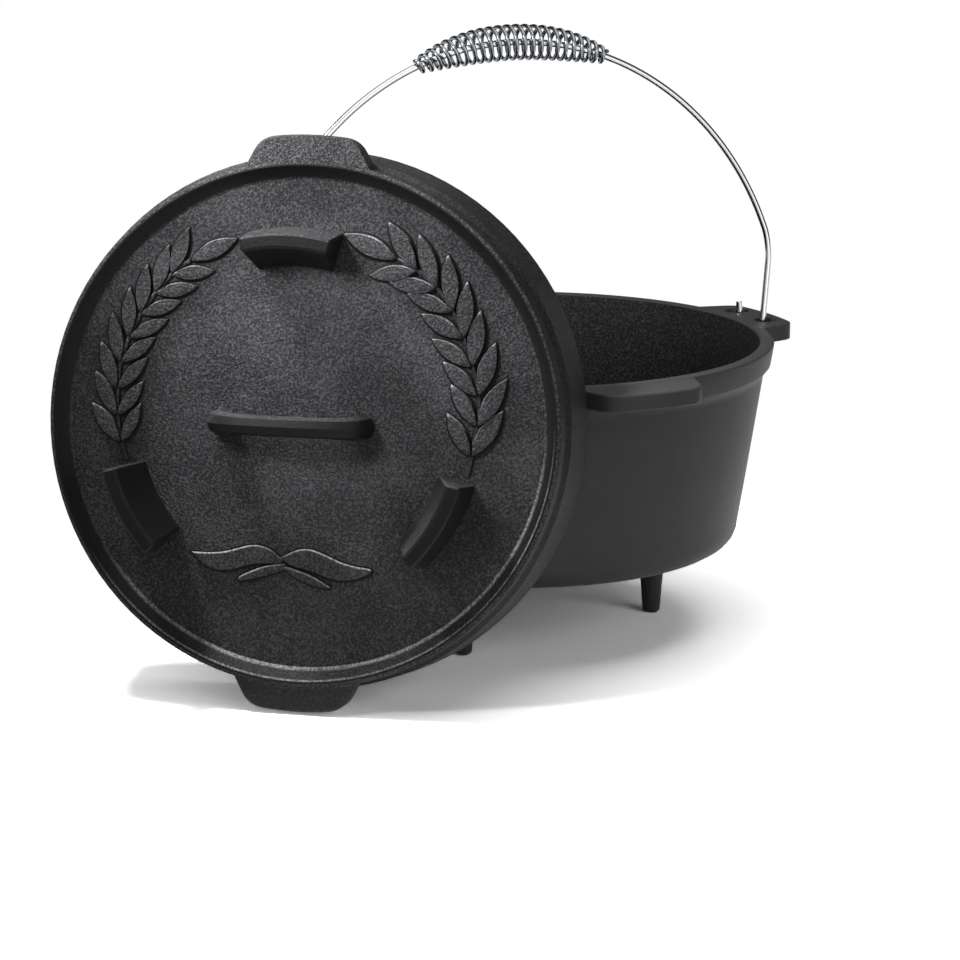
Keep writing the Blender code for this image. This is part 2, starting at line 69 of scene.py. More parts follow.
# %% Frames of the bail and the lid
BAIL_LEAN = math.radians(-6.0)
LID_LEAN = math.radians(8.0)
LID_TIP_RADIUS = 163.0 * MM
LID_TAB_BACK = 13.4 * MM
LIP_RADIUS = 148.5 * MM
LIP_BACK = 55.0 * MM
FACE_DEPTH = 8.0 * MM

swing = next(j for j in frame["joints"] if j["name"] == "bail_swing")
hinge_point = Vector(swing["pos_m"])
hinge_azimuth = math.atan2(swing["axis"][1], swing["axis"][0])
bail_frame = (Matrix.Translation(hinge_point) @ Matrix.Rotation(hinge_azimuth, 4, 'Z')
              @ Matrix.Rotation(BAIL_LEAN, 4, 'X'))

lid_low, lid_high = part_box("lid")
lid_centre = Vector((
    (lid_low.x + lid_high.x) / 2.0,
    lid_high.y - LIP_BACK * math.cos(LID_LEAN) - LIP_RADIUS * math.sin(LID_LEAN),
    LID_TIP_RADIUS * math.cos(LID_LEAN) + LID_TAB_BACK * math.sin(LID_LEAN),
))
lid_frame = Matrix.Translation(lid_centre) @ Matrix.Rotation(math.pi / 2.0 - LID_LEAN, 4, 'X')
print("pot axis", hinge_point[:2], "lid centre", [round(v, 4) for v in lid_centre])

# %% [markdown]
# ## The camera
#
# The photograph looks slightly down on the pot from the front right. A long lens from about
# two metres keeps the rim's ellipse and the lid's circle as they are in the picture. The
# camera is placed from the pot's axis on the floor, so it would follow the pot if it moved.

# %% Camera at the photograph's angle
CAMERA_FROM_POT = Vector((0.3991, -1.9273, 0.5611))
VIEW_DIRECTION = Vector((-0.2076, 0.9499, -0.2336))
FIELD_OF_VIEW = math.radians(16.78)

camera_data = bpy.data.cameras.new("camera")
camera_data.sensor_fit = 'HORIZONTAL'
camera_data.angle = FIELD_OF_VIEW
camera = bpy.data.objects.new("camera", camera_data)
bpy.context.scene.collection.objects.link(camera)
camera.location = Vector((hinge_point.x, hinge_point.y, 0.0)) + CAMERA_FROM_POT
camera.rotation_euler = VIEW_DIRECTION.to_track_quat('-Z', 'Y').to_euler()
bpy.context.scene.camera = camera
print("camera at", [round(v, 3) for v in camera.location])

# %% [markdown]
# ## Two small tools
#
# Nodes are added the same way everywhere, in materials and in Geometry Nodes, so one
# function is enough: it makes the node, applies its settings and fills its sockets with a
# value or a link. Colours are written as a painter would mix them on screen, in sRGB hex,
# and turned to the linear values that Blender's shaders expect.

# %% Colours and nodes
def linear(hex_colour):
    """An sRGB hex colour as linear RGBA."""
    channels = [int(hex_colour[i:i + 2], 16) / 255.0 for i in (1, 3, 5)]
    return [c / 12.92 if c <= 0.04045 else ((c + 0.055) / 1.055) ** 2.4 for c in channels] + [1.0]


def add(tree, kind, inputs=None, **settings):
    """Adds a node, applies its settings, and feeds its sockets with links or values."""
    made = tree.nodes.new(kind)
    for name, value in settings.items():
        setattr(made, name, value)
    for key, value in (inputs or {}).items():
        if isinstance(value, bpy.types.NodeSocket):
            tree.links.new(value, made.inputs[key])
        else:
            made.inputs[key].default_value = value
    return made


# %% [markdown]
# ## Sand-cast, pre-seasoned iron
#
# The pot and the lid are grey iron cast in sand, blasted clean and baked with oil. The sand
# leaves a fine pebbled skin, and the baked oil turns it black with a dull sheen. Nearly all of
# the sparkle comes from the bump: each grain tilts the light a little. The colour only drifts
# by a few percent, where handling has rubbed the crowns. A Bevel node rounds the light over
# cast edges and into cast corners, which are never sharp on iron, without adding a face.
#
# The pot's outside is rubbed smooth at the works, while its cooking side keeps the rough skin,
# and the shade inside it is painted as a near-black colour. The two are told apart by a cone that
# runs inside the wall: what lies within it, above the base and below the rim, is the cooking side.
#
# A pattern is drawn out of the sand along its steep walls, which leaves them smoother. Shade is
# painted on the lid as a near-black colour with a smoother grain: on the wall round its face, on the
# crest ring, on the walls of the three legs, on the loop and along the foot of the leaves, most where
# they face down, and more lightly on the skirt and the lower tab. A steep wall is known by its
# normal, and the foot of a leaf by its height over the face. A painted highlight lightens the
# crowns of the grain where a surface faces up: the upper edges of the relief and the two rings at
# the foot of the lid's wall.

# %% Material for cast iron
def seasoned_iron(name, colour, crown_colour, grain, relief, roughness, edge):
    """Baked-oil finish over sand-cast iron. Grain, relief and edge are real sizes in metres."""
    finish = bpy.data.materials.new(name)
    finish.use_nodes = True
    tree = finish.node_tree
    shader = tree.nodes["Principled BSDF"]
    place = add(tree, "ShaderNodeTexCoord").outputs["Object"]
    sand = add(tree, "ShaderNodeTexNoise", {"Vector": place, "Scale": 1.0 / grain, "Detail": 2.0,
                                            "Roughness": 0.6})
    swirl = add(tree, "ShaderNodeTexNoise", {"Vector": place, "Scale": 1.0 / (30.0 * grain),
                                             "Detail": 2.0})
    crowns = add(tree, "ShaderNodeMapRange", {"Value": sand.outputs["Fac"], "From Min": 0.42,
                                              "From Max": 0.72})
    patches = add(tree, "ShaderNodeMapRange", {"Value": swirl.outputs["Fac"], "From Min": 0.35,
                                               "From Max": 0.65, "To Min": -0.15, "To Max": 0.15})
    rubbed = add(tree, "ShaderNodeMath", {0: crowns.outputs[0], 1: patches.outputs[0]},
                 operation='ADD', use_clamp=True)
    paint = add(tree, "ShaderNodeMix", {0: rubbed.outputs[0], 6: linear(colour),
                                        7: linear(crown_colour)}, data_type='RGBA')
    round_edge = add(tree, "ShaderNodeBevel", {"Radius": edge}, samples=6)
    bump = add(tree, "ShaderNodeBump", {"Strength": 1.0, "Distance": relief,
                                        "Height": sand.outputs["Fac"],
                                        "Normal": round_edge.outputs[0]})
    tree.links.new(paint.outputs[2], shader.inputs["Base Color"])
    tree.links.new(bump.outputs[0], shader.inputs["Normal"])
    shader.inputs["Roughness"].default_value = roughness
    shader.inputs["Specular IOR Level"].default_value = SHEEN
    return finish


SHEEN = 0.1
LID_GRAIN = 1.35 * MM
POT_GRAIN = 0.70 * MM
LID_COLOURS = "#262628", "#58585A"
lid_iron = seasoned_iron("sand_cast_seasoned_iron_coarse", *LID_COLOURS, LID_GRAIN,
                         1.25 * MM, 0.50, 0.6 * MM)
relief_iron = seasoned_iron("sand_cast_seasoned_iron_relief", "#29292B", "#58585A", LID_GRAIN,
                            1.10 * MM, 0.50, 0.25 * MM)
# Painted light: the pot's outside is given lighter colours than the lid's iron, for the brighter light on the
# pot's side.
pot_iron = seasoned_iron("sand_cast_seasoned_iron_fine", "#484849", "#515153", POT_GRAIN,
                         0.10 * MM, 0.46, 1.4 * MM)


# %% Painted shade and rough grain on the pot's cooking side
def paint_cooking_side_shade(finish, axis, colour, crown_colour, grain, relief):
    """Mixes painted shade, a near-black colour, and a rough grain into a finish, on the pot's inside only."""
    wall_slope, cone_foot = 0.156, 125.5 * MM
    floor_height, rim_height = 56.5 * MM, 178.3 * MM
    tree = finish.node_tree
    shader = tree.nodes["Principled BSDF"]
    place = add(tree, "ShaderNodeTexCoord").outputs["Object"]
    from_axis = add(tree, "ShaderNodeVectorMath", {0: place, 1: (-axis.x, -axis.y, 0.0)},
                    operation='ADD')
    split = add(tree, "ShaderNodeSeparateXYZ", {0: from_axis.outputs[0]})
    across = add(tree, "ShaderNodeCombineXYZ", {0: split.outputs[0], 1: split.outputs[1]})
    radius = add(tree, "ShaderNodeVectorMath", {0: across.outputs[0]}, operation='LENGTH')
    cone = add(tree, "ShaderNodeMath", {0: split.outputs[2], 1: wall_slope, 2: cone_foot},
               operation='MULTIPLY_ADD')
    within = add(tree, "ShaderNodeMath", {0: radius.outputs["Value"], 1: cone.outputs[0]},
                 operation='LESS_THAN')
    above = add(tree, "ShaderNodeMath", {0: split.outputs[2], 1: floor_height}, operation='GREATER_THAN')
    below = add(tree, "ShaderNodeMath", {0: split.outputs[2], 1: rim_height}, operation='LESS_THAN')
    band = add(tree, "ShaderNodeMath", {0: above.outputs[0], 1: below.outputs[0]}, operation='MULTIPLY')
    inside = add(tree, "ShaderNodeMath", {0: within.outputs[0], 1: band.outputs[0]}, operation='MULTIPLY')
    outer_paint = shader.inputs["Base Color"].links[0].from_socket
    outer_bump = shader.inputs["Normal"].links[0].from_socket
    sand = add(tree, "ShaderNodeTexNoise", {"Vector": place, "Scale": 1.0 / grain, "Detail": 2.0})
    crowns = add(tree, "ShaderNodeMapRange", {"Value": sand.outputs["Fac"], "From Min": 0.45,
                                              "From Max": 0.70})
    inside_shade = add(tree, "ShaderNodeMix", {0: crowns.outputs[0], 6: linear(colour), 7: linear(crown_colour)},
               data_type='RGBA')
    paint = add(tree, "ShaderNodeMix", {0: inside.outputs[0], 6: outer_paint, 7: inside_shade.outputs[2]},
                data_type='RGBA')
    rough_height = add(tree, "ShaderNodeMath", {0: sand.outputs["Fac"], 1: inside.outputs[0]},
                       operation='MULTIPLY')
    bump = add(tree, "ShaderNodeBump", {"Distance": relief, "Height": rough_height.outputs[0],
                                        "Normal": outer_bump})
    tree.links.new(paint.outputs[2], shader.inputs["Base Color"])
    tree.links.new(bump.outputs[0], shader.inputs["Normal"])


# Painted shade: the pot's hollow is painted near black for the shade that falls inside it.
paint_cooking_side_shade(pot_iron, hinge_point, "#252526", "#4A4A4C", LID_GRAIN, 0.60 * MM)

# %% Painted shade on the lid's walls, fittings and relief
def paint_smooth_shade(finish, mask, colour):
    """Paints shade in the given dark colour, with a smoother grain, into a finish where the mask is 1."""
    tree = finish.node_tree
    shader = tree.nodes["Principled BSDF"]
    unshaded_colour = shader.inputs["Base Color"].links[0].from_socket
    paint = add(tree, "ShaderNodeMix", {0: mask, 6: unshaded_colour, 7: linear(colour)}, data_type='RGBA')
    tree.links.new(paint.outputs[2], shader.inputs["Base Color"])
    bump = shader.inputs["Normal"].links[0].from_node
    smooth = add(tree, "ShaderNodeMapRange", {"Value": mask, "To Min": 1.0, "To Max": 0.25})
    tree.links.new(smooth.outputs[0], bump.inputs["Strength"])


def band(tree, value, rise_from, rise_to, fall_from, fall_to):
    """A mask that is 1 between two edges of a value and fades to 0 outside them."""
    rise = add(tree, "ShaderNodeMapRange", {"Value": value, "From Min": rise_from, "From Max": rise_to})
    fall = add(tree, "ShaderNodeMapRange", {"Value": value, "From Min": fall_from, "From Max": fall_to,
                                            "To Min": 1.0, "To Max": 0.0})
    inside = add(tree, "ShaderNodeMath", {0: rise.outputs[0], 1: fall.outputs[0]}, operation='MULTIPLY')
    return inside.outputs[0]


def paint_crown_highlight(finish, mask, colour):
    """Paints a highlight on the crowns of the grain where the mask is 1, where top light catches a cast edge.
    """
    tree = finish.node_tree
    shader = tree.nodes["Principled BSDF"]
    sand = shader.inputs["Normal"].links[0].from_node.inputs["Height"].links[0].from_socket
    crowns = add(tree, "ShaderNodeMapRange", {"Value": sand, "From Min": 0.38, "From Max": 0.60,
                                              "To Min": 0.25, "To Max": 1.0})
    share = add(tree, "ShaderNodeMath", {0: mask, 1: crowns.outputs[0]}, operation='MULTIPLY')
    dull = shader.inputs["Base Color"].links[0].from_socket
    paint = add(tree, "ShaderNodeMix", {0: share.outputs[0], 6: dull, 7: linear(colour)},
                data_type='RGBA')
    tree.links.new(paint.outputs[2], shader.inputs["Base Color"])


def lid_measures(tree):
    """Radius, height over the rim, height up the lid and slope of a point on the lid, as sockets."""
    normal_out = (lid_frame.to_3x3() @ Vector((0.0, 0.0, 1.0))).normalized()
    up_left = (lid_frame.to_3x3() @ Vector((-0.3, 1.0, 0.0))).normalized()
    place = add(tree, "ShaderNodeTexCoord").outputs["Object"]
    from_centre = add(tree, "ShaderNodeVectorMath", {0: place, 1: lid_centre}, operation='SUBTRACT').outputs[0]
    off_axis = add(tree, "ShaderNodeVectorMath", {0: from_centre, 1: normal_out}, operation='CROSS_PRODUCT')
    radius = add(tree, "ShaderNodeVectorMath", {0: off_axis.outputs[0]}, operation='LENGTH')
    surface = add(tree, "ShaderNodeNewGeometry").outputs["Normal"]
    pairs = ((from_centre, normal_out), (from_centre, up_left), (surface, normal_out), (surface, up_left))
    dots = [add(tree, "ShaderNodeVectorMath", {0: a, 1: b}, operation='DOT_PRODUCT').outputs["Value"]
            for a, b in pairs]
    return [radius.outputs["Value"]] + dots


# A band that should be open on one side has that edge far outside what its value can reach.
BELOW, ABOVE = (-2.0, -1.5), (2.0, 3.0)


def combined(tree, masks, recipe):
    """Adds what a recipe says to the masks: a name, an operation and the two masks it joins."""
    for name, operation, first, second in recipe:
        masks[name] = add(tree, "ShaderNodeMath", {0: masks[first], 1: masks[second]},
                          operation=operation).outputs[0]
    return masks


tree = lid_iron.node_tree
radius, height, up_lid, facing, upward = lid_measures(tree)
# Painted shade: it is strongest on surfaces that face down and weakest on those that face up.
down_facing_shade = add(tree, "ShaderNodeMapRange", {"Value": upward, "From Min": 0.45, "From Max": 0.80,
                                           "To Min": 1.0, "To Max": 0.25})
masks = combined(tree, {
    "steep": band(tree, facing, *BELOW, 0.66, 0.88),
    "over_face": band(tree, height, -7.6 * MM, -7.0 * MM, *ABOVE),
    "in_recess": band(tree, radius, *BELOW, 145.0 * MM, 146.0 * MM),
    "crest_ring": band(tree, radius, 143.6 * MM, 144.2 * MM, 146.4 * MM, 146.9 * MM),
    "crest_top": band(tree, height, -3.0 * MM, -2.5 * MM, *ABOVE),
    "fittings_height": band(tree, height, -6.5 * MM, -5.0 * MM, *ABOVE),
    "fittings_circle": band(tree, radius, *BELOW, 122.0 * MM, 126.0 * MM),
    "skirt_side": band(tree, radius, 147.6 * MM, 148.2 * MM, *ABOVE),
    "tab_reach": band(tree, radius, 149.0 * MM, 150.5 * MM, *ABOVE),
    "low_half": band(tree, up_lid, *BELOW, -0.11, -0.10),
    "wall_foot": band(tree, radius, 137.2 * MM, 137.8 * MM, 139.2 * MM, 140.4 * MM),
    "crest_edge": band(tree, radius, 144.4 * MM, 144.7 * MM, 145.2 * MM, 145.6 * MM),
    "lit": band(tree, upward, 0.18, 0.55, *ABOVE),
    "down_facing_shade": down_facing_shade.outputs[0],
    "low_shade_strength": 0.62,
    "faint": 0.65,
}, (
    ("wall", 'MULTIPLY', "steep", "over_face"),
    ("wall", 'MULTIPLY', "wall", "in_recess"),
    ("crest", 'MULTIPLY', "crest_ring", "crest_top"),
    ("raised", 'MULTIPLY', "fittings_height", "fittings_circle"),
    ("shade_on_walls_and_fittings", 'MAXIMUM', "wall", "crest"),
    ("shade_on_walls_and_fittings", 'MAXIMUM', "shade_on_walls_and_fittings", "raised"),
    ("shade_on_walls_and_fittings", 'MULTIPLY', "shade_on_walls_and_fittings", "down_facing_shade"),
    # Painted shade on the skirt and the lower tab, at a lighter share.
    ("outside", 'MULTIPLY', "steep", "skirt_side"),
    ("low_tab", 'MULTIPLY', "tab_reach", "low_half"),
    ("low_shade", 'MAXIMUM', "outside", "low_tab"),
    ("low_shade", 'MULTIPLY', "low_shade", "low_shade_strength"),
    ("painted_shade", 'MAXIMUM', "shade_on_walls_and_fittings", "low_shade"),
    ("rings", 'MULTIPLY', "crest_edge", "faint"),
    ("rings", 'MAXIMUM', "wall_foot", "rings"),
    ("rings", 'MULTIPLY', "rings", "lit"),
))
# Painted shade: the wall round the face, the crest ring, the legs and the loop where they face down, and the
# skirt and the lower tab, near black with a smoother grain.
paint_smooth_shade(lid_iron, masks["painted_shade"], "#151516")
# Painted highlight: the grain's crowns on the two rings at the foot of the wall are painted light grey where
# they face up.
paint_crown_highlight(lid_iron, masks["rings"], "#A2A3A6")

tree = relief_iron.node_tree
radius, height, up_lid, facing, upward = lid_measures(tree)
masks = combined(tree, {
    "foot": band(tree, height, -9.0 * MM, -8.8 * MM, -FACE_DEPTH + 0.6 * MM, -FACE_DEPTH + 1.5 * MM),
    "steep": band(tree, facing, *BELOW, 0.70, 0.90),
    "turned_down": band(tree, upward, *BELOW, 0.10, 0.35),
    "turned_up": band(tree, upward, 0.25, 0.60, *ABOVE),
    "clear": band(tree, height, -FACE_DEPTH + 0.6 * MM, -FACE_DEPTH + 1.2 * MM, *ABOVE),
}, (
    ("shaded", 'MULTIPLY', "steep", "turned_down"),
    ("painted_shade", 'MAXIMUM', "foot", "shaded"),
    ("lit_edge", 'MULTIPLY', "turned_up", "clear"),
))
# Painted shade: the foot of the leaves and ribbons and their walls that face down are painted near black.
paint_smooth_shade(relief_iron, masks["painted_shade"], "#121213")
# Painted highlight: the upper edges of the leaves and ribbons are painted light grey where they face up.
paint_crown_highlight(relief_iron, masks["lit_edge"], "#A8A9AC")
print("iron finishes:", lid_iron.name, relief_iron.name, pot_iron.name)

# %% [markdown]
# ## Bright plated wire
#
# The bail and its grip are drawn steel wire with nickel-chrome plating. Plating is a mirror
# with a slight haze, so the material is fully metallic with a low roughness. Drawing leaves
# very fine streaks. They are too fine to see at this size, so a weak noise in the roughness
# stands in for them, drawn coarse enough to break up the highlight.

# %% Material for plated wire
def plated_steel(name, colour, roughness):
    finish = bpy.data.materials.new(name)
    finish.use_nodes = True
    tree = finish.node_tree
    shader = tree.nodes["Principled BSDF"]
    place = add(tree, "ShaderNodeTexCoord").outputs["Object"]
    haze = add(tree, "ShaderNodeTexNoise", {"Vector": place, "Scale": 1.0 / (2.5 * MM), "Detail": 2.0})
    spread = add(tree, "ShaderNodeMapRange", {"Value": haze.outputs["Fac"], "To Min": roughness - 0.04,
                                              "To Max": roughness + 0.06})
    tree.links.new(spread.outputs[0], shader.inputs["Roughness"])
    shader.inputs["Base Color"].default_value = linear(colour)
    shader.inputs["Metallic"].default_value = 1.0
    return finish


wire_plating = plated_steel("nickel_chrome_plated_wire", "#C4C6C8", 0.12)
spring_plating = plated_steel("nickel_chrome_plated_spring", "#8C9094", 0.20)
print("wire finishes:", wire_plating.name, spring_plating.name)

# %% [markdown]
# ## The two castings
#
# The CAD castings have the right shape, but their mesh comes as loose triangles, which
# shade as facets. A merged copy with smooth shading, and sharp edges only where two faces
# really meet at an angle, looks cast. The copy replaces the CAD node in the picture, and the
# node stays behind it for collision, hidden.

# %% Smooth copies of the pot and the lid
def finished_piece(name, mesh, body, finish, replaced=()):
    """Links a mesh whose vertices are already in place, gives it a finish and a body."""
    mesh.materials.clear()
    mesh.materials.append(finish)
    piece = bpy.data.objects.new(name, mesh)
    bpy.context.scene.collection.objects.link(piece)
    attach(piece, body)
    for node in replaced:
        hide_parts(node)
    return piece


def steepen_recess(work):
    """Moves the foot of the wall round the lid's face outward, to the slope of the real casting."""
    to_lid = lid_frame.inverted()
    moved = 0
    for vertex in work.verts:
        p = to_lid @ vertex.co
        radius = math.hypot(p.x, p.y)
        at_face = abs(p.z + FACE_DEPTH) < 0.2 * MM and abs(radius - 133.5 * MM) < 0.3 * MM
        above_face = abs(p.z + FACE_DEPTH - 1.2 * MM) < 0.2 * MM and abs(radius - 137.5 * MM) < 0.3 * MM
        if at_face or above_face:
            stretch = 1.0 + (4.6 * MM if at_face else 2.4 * MM) / radius
            vertex.co = lid_frame @ Vector((p.x * stretch, p.y * stretch, p.z))
            moved += 1
    print("recess wall:", moved, "vertices moved")


def smooth_casting(name, node, finish, sharp_degrees, shape=None):
    """A merged copy of a CAD casting whose flat faces shade flat and whose bends shade round."""
    work = bmesh.new()
    work.from_mesh(frame["nodes"][node].data)
    bmesh.ops.remove_doubles(work, verts=work.verts, dist=0.002 * MM)
    if shape:
        shape(work)
    merged = bpy.data.meshes.new(name + "_merged")
    work.to_mesh(merged)
    work.free()
    for stale in ("custom_normal", "sharp_edge", "sharp_face"):
        if stale in merged.attributes:
            merged.attributes.remove(merged.attributes[stale])
    merged.shade_smooth()
    merged.set_sharp_from_angle(angle=math.radians(sharp_degrees))
    helper = bpy.data.objects.new(name + "_source", merged)
    bpy.context.scene.collection.objects.link(helper)
    weigh = helper.modifiers.new("weigh_normals", 'WEIGHTED_NORMAL')
    weigh.keep_sharp = True
    weigh.weight = 90
    bpy.context.view_layer.update()
    graph = bpy.context.evaluated_depsgraph_get()
    mesh = bpy.data.meshes.new_from_object(helper.evaluated_get(graph), preserve_all_data_layers=True,
                                           depsgraph=graph)
    mesh.name = name
    bpy.data.objects.remove(helper, do_unlink=True)
    print(name, len(mesh.polygons), "faces")
    return finished_piece(name, mesh, node, finish, [node])


pot = smooth_casting("pot_casting", "pot", pot_iron, 32.0)
lid = smooth_casting("lid_casting", "lid", lid_iron, 32.0, steepen_recess)

# %% [markdown]
# ## The laurel on the lid
#
# Two laurel branches are cast in low relief on the lid's face. Each is a row of paired leaves
# that meet in a V, on a short stem, with a single leaf at the tip. Placing 34 leaves by hand
# would be slow and uneven. Geometry Nodes do it from a curve: the branch is sampled at one
# point per pair, and each point gets a left and a right leaf turned away from the branch's
# direction, with the pairs a little closer together toward the tip. The leaf itself is one
# small mesh: an almond outline with steep walls, highest at its root, so that every V stands
# clear of the pair below it and the walls draw a dark line.

# %% One laurel leaf
# Each station across the leaf: share of the half width, fillet beyond it, share of the height.
LEAF_STATIONS = [(-1.0, -1.1 * MM, 0.0), (-1.0, 0.0, 0.14), (-0.84, 0.0, 0.90), (-0.45, 0.0, 0.97),
                 (0.0, 0.0, 1.0), (0.45, 0.0, 0.97), (0.84, 0.0, 0.90), (1.0, 0.0, 0.14),
                 (1.0, 1.1 * MM, 0.0)]


def leaf_mesh(name, length, width, root_height, tip_height):
    """An almond-shaped leaf along +Y from its root at the origin, raised along +Z."""
    rows = 14
    mesh = bpy.data.meshes.new(name)
    work = bmesh.new()
    grid = []
    for i in range(rows + 1):
        t = (1.0 - math.cos(math.pi * i / rows)) / 2.0
        half_width = width / 2.0 * math.sin(math.pi * t) if 0 < i < rows else 0.0
        top = (root_height + (tip_height - root_height) * t) * (1.0 - (2.0 * t - 1.0) ** 16)
        row = []
        for share, fillet, rise in LEAF_STATIONS:
            x = share * half_width + fillet * (0.35 + 0.65 * math.sin(math.pi * t))
            y = t * length - abs(fillet) * 1.2 * math.cos(math.pi * t)
            row.append(work.verts.new((x, y, rise * top - 0.05 * MM)))
        grid.append(row)
    for lower, upper in zip(grid, grid[1:]):
        for j in range(len(LEAF_STATIONS) - 1):
            work.faces.new((lower[j], lower[j + 1], upper[j + 1], upper[j]))
    middle = len(LEAF_STATIONS) // 2
    work.faces.new((grid[0][0], grid[0][-1], grid[0][middle]))
    work.faces.new((grid[-1][middle], grid[-1][-1], grid[-1][0]))
    bmesh.ops.remove_doubles(work, verts=work.verts, dist=0.01 * MM)
    bmesh.ops.dissolve_degenerate(work, dist=0.005 * MM, edges=work.edges)
    work.to_mesh(mesh)
    work.free()
    mesh.shade_smooth()
    mesh.set_sharp_from_angle(angle=math.radians(38.0))
    return mesh


LEAF_LENGTH = 28.5 * MM
LEAF_WIDTH = 9.8 * MM
leaf = bpy.data.objects.new("laurel_leaf", leaf_mesh("laurel_leaf", LEAF_LENGTH, LEAF_WIDTH,
                                                     3.9 * MM, 2.3 * MM))
print("leaf", len(leaf.data.polygons), "faces")


# %% Geometry Nodes that lay leaf pairs along a branch
def laurel_tree(finish):
    tree = bpy.data.node_groups.new("laurel_branch", 'GeometryNodeTree')
    face = tree.interface
    face.new_socket("Branch", in_out='INPUT', socket_type='NodeSocketGeometry')
    face.new_socket("Leaf", in_out='INPUT', socket_type='NodeSocketObject')
    face.new_socket("Pairs", in_out='INPUT', socket_type='NodeSocketInt').default_value = 8
    for name, value in (("Left Spread", 0.5), ("Right Spread", -0.5), ("Left Size", 1.0),
                        ("Right Size", 1.0), ("Tip Size", 1.0), ("Crowding", 1.0), ("Stem Share", 0.07),
                        ("Stem Radius", MM)):
        face.new_socket(name, in_out='INPUT', socket_type='NodeSocketFloat').default_value = value
    face.new_socket("Leaves", in_out='OUTPUT', socket_type='NodeSocketGeometry')
    given = add(tree, "NodeGroupInput").outputs
    leafy = add(tree, "GeometryNodeTrimCurve", {"Curve": given["Branch"], "Start": given["Stem Share"]})
    count = add(tree, "ShaderNodeMath", {0: given["Pairs"], 1: 1.0}, operation='ADD')
    marks = add(tree, "GeometryNodePoints", {"Count": count.outputs[0]})
    order = add(tree, "GeometryNodeInputIndex")
    from_tip = add(tree, "ShaderNodeMapRange", {"Value": order.outputs[0], "From Max": given["Pairs"],
                                                "To Min": 1.0, "To Max": 0.0})
    crowded = add(tree, "ShaderNodeMath", {0: from_tip.outputs[0], 1: given["Crowding"]}, operation='POWER')
    share = add(tree, "ShaderNodeMath", {0: 1.0, 1: crowded.outputs[0]}, operation='SUBTRACT')
    spot = add(tree, "GeometryNodeSampleCurve", {"Curves": leafy.outputs[0], "Factor": share.outputs[0]},
               mode='FACTOR')
    points = add(tree, "GeometryNodeSetPosition", {"Geometry": marks.outputs[0],
                                                   "Position": spot.outputs["Position"]})
    leaf_info = add(tree, "GeometryNodeObjectInfo", {"Object": given["Leaf"]})
    along = add(tree, "FunctionNodeAlignRotationToVector",
                {"Vector": spot.outputs["Tangent"]}, axis='Y', pivot_axis='Z')
    paired = add(tree, "FunctionNodeCompare", {0: order.outputs[0], 1: given["Pairs"]},
                 data_type='FLOAT', operation='LESS_THAN')
    single = add(tree, "FunctionNodeBooleanMath", {0: paired.outputs[0]}, operation='NOT')
    join = add(tree, "GeometryNodeJoinGeometry")
    for chosen, spread, size in ((paired, given["Left Spread"], given["Left Size"]),
                                 (paired, given["Right Spread"], given["Right Size"]),
                                 (single, 0.0, given["Tip Size"])):
        turn = add(tree, "FunctionNodeAxisAngleToRotation", {"Axis": (0, 0, 1), "Angle": spread})
        facing = add(tree, "FunctionNodeRotateRotation",
                     {0: along.outputs[0], 1: turn.outputs[0]}, rotation_space='LOCAL')
        stretch = add(tree, "ShaderNodeCombineXYZ", {0: size, 1: size, 2: 1.0})
        leaves = add(tree, "GeometryNodeInstanceOnPoints",
                     {"Points": points.outputs[0], "Selection": chosen.outputs[0],
                      "Instance": leaf_info.outputs["Geometry"], "Rotation": facing.outputs[0],
                      "Scale": stretch.outputs[0]})
        tree.links.new(leaves.outputs[0], join.inputs[0])
    rod = add(tree, "GeometryNodeCurvePrimitiveCircle", {"Resolution": 12, "Radius": given["Stem Radius"]})
    stem = add(tree, "GeometryNodeCurveToMesh", {"Curve": given["Branch"], "Profile Curve": rod.outputs[0],
                                                 "Fill Caps": True})
    tree.links.new(stem.outputs[0], join.inputs[0])
    real = add(tree, "GeometryNodeRealizeInstances", {"Geometry": join.outputs[0]})
    painted = add(tree, "GeometryNodeSetMaterial", {"Geometry": real.outputs[0], "Material": finish})
    out = add(tree, "NodeGroupOutput")
    tree.links.new(painted.outputs[0], out.inputs[0])
    return tree


laurel = laurel_tree(relief_iron)
print("laurel tree:", len(laurel.nodes), "nodes")


# %% [markdown]
# ## From a tree to a plain mesh
#
# The export keeps plain meshes only. So each generated piece is evaluated once, copied as a
# mesh, moved into its frame, and the helper object with the modifier is deleted.

# %% Run a tree and keep its mesh
def grow(name, tree, curve_data, inputs, matrix):
    """Evaluates a Geometry Nodes tree on a curve and returns the placed plain mesh."""
    helper = bpy.data.objects.new(name + "_source", curve_data)
    bpy.context.scene.collection.objects.link(helper)
    modifier = helper.modifiers.new("grow", 'NODES')
    modifier.node_group = tree
    sockets = {item.name: item.identifier for item in tree.interface.items_tree
               if item.item_type == 'SOCKET' and item.in_out == 'INPUT'}
    for key, value in inputs.items():
        modifier[sockets[key]] = value
    bpy.context.view_layer.update()
    graph = bpy.context.evaluated_depsgraph_get()
    mesh = bpy.data.meshes.new_from_object(helper.evaluated_get(graph))
    mesh.name = name
    bpy.data.objects.remove(helper, do_unlink=True)
    mesh.transform(matrix)
    print(name, len(mesh.polygons), "faces")
    return mesh


def poly_curve(name, points):
    curve = bpy.data.curves.new(name, 'CURVE')
    curve.dimensions = '3D'
    spline = curve.splines.new('NURBS')
    spline.points.add(len(points) - 1)
    for i, p in enumerate(points):
        z = p[2] if len(p) > 2 else 0.0
        spline.points[i].co = (p[0] * MM, p[1] * MM, z * MM, 1.0)
    spline.order_u = 3
    spline.use_endpoint_u = True
    return curve


